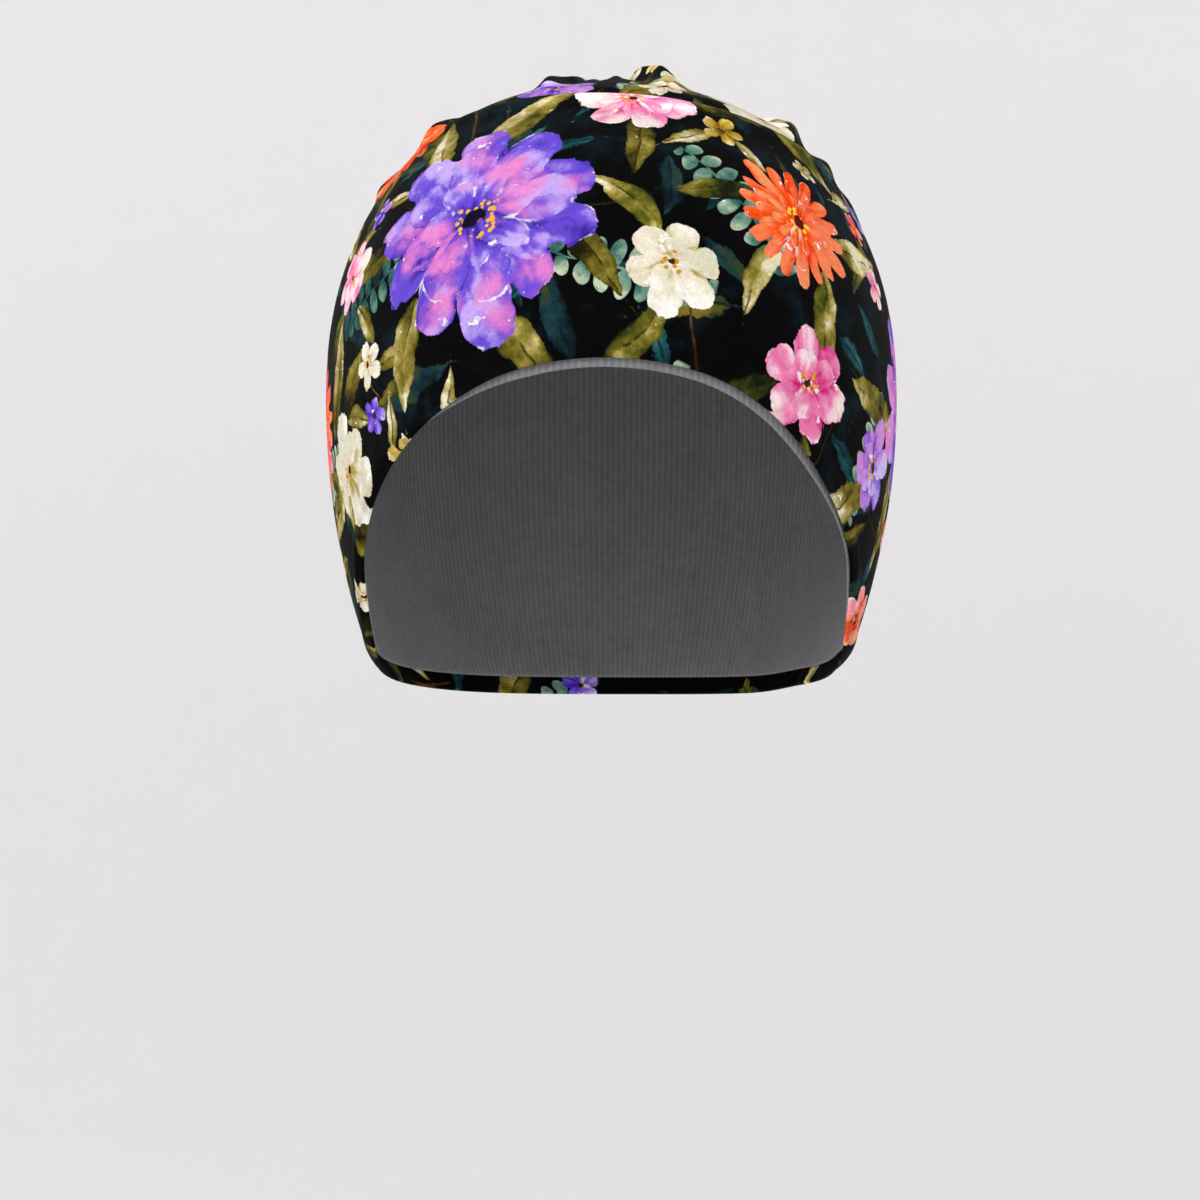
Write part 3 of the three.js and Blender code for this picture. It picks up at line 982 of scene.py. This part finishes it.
    def leaves(self, under, kind):
        """Leaves in two halves with a midrib, in washes that run along them."""
        channel = self.channel(kind)
        mm = channel.mm
        inside, share, off = self.leaf(channel, kind.shape)
        tone = (
            share * 0.3
            + channel.seed.swing(0.5)
            + self.bleed[0].swing(1.5)
            + self.wash[2].scaled(2.2, -0.85)
            + off.smooth(-0.03, 0.03) * 0.2
            + self.grain.swing(0.3)
            + inside.smooth(1.2 * mm, 0.0) * -0.16
        )
        rib = abs(off).smooth(0.5 * mm, 0.25 * mm) * self.bleed[1].smooth(0.46, 0.56) * 0.8
        leaf = self.mix(rib, self.ramp(tone, kind.colours), linear(kind.colours[0]))
        return self.mix(self.cut(inside, channel, kind.ragged), under, leaf)

    def sprigs(self, under, kind):
        """Stalks with pairs of round leaflets, which stand in turn on either side."""
        channel = self.channel(kind)
        along = channel.x
        arch = 1.0 - along * along
        off = channel.y + arch * channel.seed.swing(0.3)
        beside = (along * kind.shape + off.math("SIGN") * 0.25).math("FRACT").swing(2.0)
        half = arch.scaled(0.1, 0.07)
        out = (abs(off) - half) / half
        leaflet = (1.0 - (beside * beside * 1.5 + out * out)) * 0.1
        inside = leaflet.math("MAXIMUM", 0.35 * channel.mm - abs(off))
        area = self.cut(inside, channel, kind.ragged) * abs(along).smooth(0.97, 0.93)
        tone = channel.seed + self.bleed[2].swing(1.8) + out * 0.12
        return self.mix(area, under, self.ramp(tone, kind.colours))

    def paint(self):
        """The whole print, from the ground up, shaded by its grain, with painted shade in the
        folds' valleys and painted light on their ridges.
        """
        wet = self.wash[2].smooth(0.5, 0.62) * self.bleed[0].smooth(0.42, 0.6) * 0.8
        colour = self.mix(wet, INK, self.ramp(self.bleed[2], WATER))
        for kind in UNDERGROWTH:
            colour = self.leaves(colour, kind)
        colour = self.sprigs(colour, SPRIGS)
        for kind in LEAVES:
            colour = self.leaves(colour, kind)
        for kind in BLOOMS:
            colour = self.bloom(colour, kind)
        bare = self.flecks * self.split(colour, "Color")[0].smooth(0.1, 0.3)
        colour = self.mix(bare, colour, PAPER)
        depth = self.grain.swing(0.36) + 0.97 + self.tooth.swing(0.3) + self.fibres * 0.2
        # Painted shade darkens the folds' valleys and painted light brightens their ridges.
        painted_fold_shade = self.give("Attribute", output="Fac", attribute_name="painted_fold_shade").smooth(-0.9, 0.8)
        return self.shade(colour, depth * painted_fold_shade.scaled(-0.42, 1.15))


# ---------------- cloth materials

# The knits' stitches in metres, and how strongly and deeply they stand out.
KNIT_WALE, KNIT_COURSE, KNIT_BUMP = 0.0008, 0.0007, {"Strength": 0.3, "Distance": 0.00012}
RIB_PITCH, RIB_BUMP = 0.0016, {"Strength": 0.5, "Distance": 0.0003}
MELANGE_NOISE, SOFT_NOISE = (420, 3, 0.7), (60, 2, 0.5)
GREYS = ["69696b", "7f7f81", "919193"]
KNIT_GLOSS = {"Specular IOR Level": 0.03, "Sheen Weight": 0.004, "Sheen Roughness": 0.4}
RIB_GLOSS = {"Specular IOR Level": 0.3, "Sheen Weight": 0.1}


def dress(mesh, name, paint, kind=Nodes):
    """Gives a mesh a new material, whose shader takes the inputs that a function works out."""
    material = bpy.data.materials.new(name)
    material.use_nodes = True
    nodes = kind(material.node_tree)
    nodes.feed(material.node_tree.nodes["Principled BSDF"], paint(nodes))
    mesh.materials.append(material)


def printed_knit(nodes):
    """Plain knit: columns of stitches whose legs meet in a V."""
    across, down = nodes.cloth_place()
    column = abs((across * (1 / KNIT_WALE)).math("FRACT").swing(2.0))
    stitch = ((down + column * (KNIT_COURSE / 2)) * (2 * math.pi / KNIT_COURSE)).math("SINE")
    height = ((1.0 - column * column) * 0.7 + stitch * 0.3) * down.smooth(0.012, 0.05)
    bump = nodes.give("Bump", {**KNIT_BUMP, "Height": height})
    roughness = nodes.grain.scaled(0.3, 0.62)
    return {"Base Color": nodes.paint(), "Normal": bump, "Roughness": roughness, **KNIT_GLOSS}


def lining_knit(nodes):
    """A grey melange rib."""
    where = nodes.place()
    melange, soft = nodes.noise(where, *MELANGE_NOISE), nodes.noise(where, *SOFT_NOISE)
    across, down = nodes.cloth_place()
    rib = (across * (2 * math.pi / RIB_PITCH)).math("COSINE").scaled(0.5, 0.5)
    rib = rib * down.smooth(0.0, 0.02)
    tone = rib.scaled(0.4, 0.3) + melange.swing(0.9) + soft.swing(0.4)
    bump = nodes.give("Bump", {**RIB_BUMP, "Height": rib + melange * 0.5})
    grey, roughness = nodes.ramp(tone, GREYS), melange.scaled(0.15, 0.82)
    return {"Base Color": grey, "Normal": bump, "Roughness": roughness, **RIB_GLOSS}


# ---------------- studio and camera

CAMERA_DISTANCE = 1.8
CAMERA_X, CAMERA_Z = -0.0032, -0.144
PICTURE_WIDTH = 0.3408
SENSOR = 36.0
FLOOR_Z = -0.46
STAGE_RADIUS, STAGE_SWEEP, STAGE_WALL = 4.4, 3.2, 1.6
STAGE_COLUMNS, STAGE_STEPS = 96, 12
PAPER_FLOOR, PAPER_WALL, PAPER_HEIGHT = (0.745, 0.738, 0.742, 1), (0.85, 0.84, 0.844, 1), 0.4
PAPER_ROUGHNESS = 0.9

# Soft square lamps, in metres and watts, that look at the cap's middle.
Lamp = namedtuple("Lamp", "name place size watts")
LAMPS = [
    Lamp("key_left", (-2.3, -2.9, 1.6), 2.4, 90),
    Lamp("fill_right", (2.7, -2.5, 0.9), 2.6, 40),
    Lamp("top", (0.0, 0.4, 2.8), 2.4, 16),
    Lamp("rim_left", (-2.7, 2.2, 2.2), 1.8, 24),
    Lamp("rim_right", (2.8, 2.3, 2.2), 1.8, 16),
]
LAMPS_LOOK_AT = (0.0, 0.0, -0.09)
SKY_STRENGTH = 0.50


def studio_paper(nodes):
    """Pale paper, a little darker on the floor, where the lamps are near."""
    height = nodes.split(nodes.place())[2]
    pale = nodes.mix(height.smooth(FLOOR_Z, PAPER_HEIGHT), PAPER_FLOOR, PAPER_WALL)
    return {"Base Color": pale, "Roughness": PAPER_ROUGHNESS}


def studio_bowl():
    """A round pale floor whose rim sweeps up into a wall, so that no view sees an edge."""
    sweep = [math.pi / 2 * step / STAGE_STEPS for step in range(STAGE_STEPS + 1)]
    profile = [
        (STAGE_RADIUS - STAGE_SWEEP * (1 - math.sin(t)), FLOOR_Z + STAGE_SWEEP * (1 - math.cos(t)))
        for t in sweep
    ]
    profile.append((STAGE_RADIUS, FLOOR_Z + STAGE_SWEEP + STAGE_WALL))
    turns = [2 * math.pi * i / STAGE_COLUMNS for i in range(STAGE_COLUMNS)]
    points = [(r * math.cos(t), r * math.sin(t), height) for r, height in profile for t in turns]
    columns = [(i, (i + 1) % STAGE_COLUMNS) for i in range(STAGE_COLUMNS)]
    faces = [(0, 1 + i, 1 + j) for i, j in columns]
    for start in range(1, len(points) - STAGE_COLUMNS, STAGE_COLUMNS):
        above = start + STAGE_COLUMNS
        faces += [(start + i, above + i, above + j, start + j) for i, j in columns]
    mesh = bpy.data.meshes.new("studio_bowl")
    mesh.from_pydata([(0, 0, FLOOR_Z), *points], [], faces)
    mesh.shade_smooth()
    dress(mesh, "studio_paper", studio_paper)
    place_in_scene("studio_bowl", mesh)


def lights():
    for row in LAMPS:
        lamp = bpy.data.lights.new(row.name, "AREA")
        lamp.shape, lamp.size, lamp.energy = "SQUARE", row.size, row.watts
        ahead = mathutils.Vector(np.subtract(LAMPS_LOOK_AT, row.place))
        place_in_scene(row.name, lamp, row.place, ahead.to_track_quat("-Z", "Y").to_euler())
    world = bpy.data.worlds.new("studio")
    bpy.context.scene.world = world
    world.use_nodes = True
    sky = world.node_tree
    Nodes(sky).feed(sky.nodes["Background"], {"Color": (1, 1, 1, 1), "Strength": SKY_STRENGTH})


def camera():
    data = bpy.data.cameras.new("camera")
    data.sensor_width = SENSOR
    data.lens = SENSOR * CAMERA_DISTANCE / PICTURE_WIDTH
    data.clip_end = 30
    place = (CAMERA_X, -CAMERA_DISTANCE, CAMERA_Z)
    bpy.context.scene.camera = place_in_scene("camera", data, place, (math.pi / 2, 0, 0))


# ---------------- the cap

camera()
lights()
studio_bowl()

shell, shell_base = crown_shell()
lay_print(shell, shell_base)
dress(shell.data, "printed_knit", printed_knit, Print)
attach(shell, "root")
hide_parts("crown_shell")

inner, _ = lining()
dress(inner.data, "lining_knit", lining_knit)
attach(inner, "root")
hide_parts("lining")

bpy.context.scene.view_settings.view_transform = "Standard"
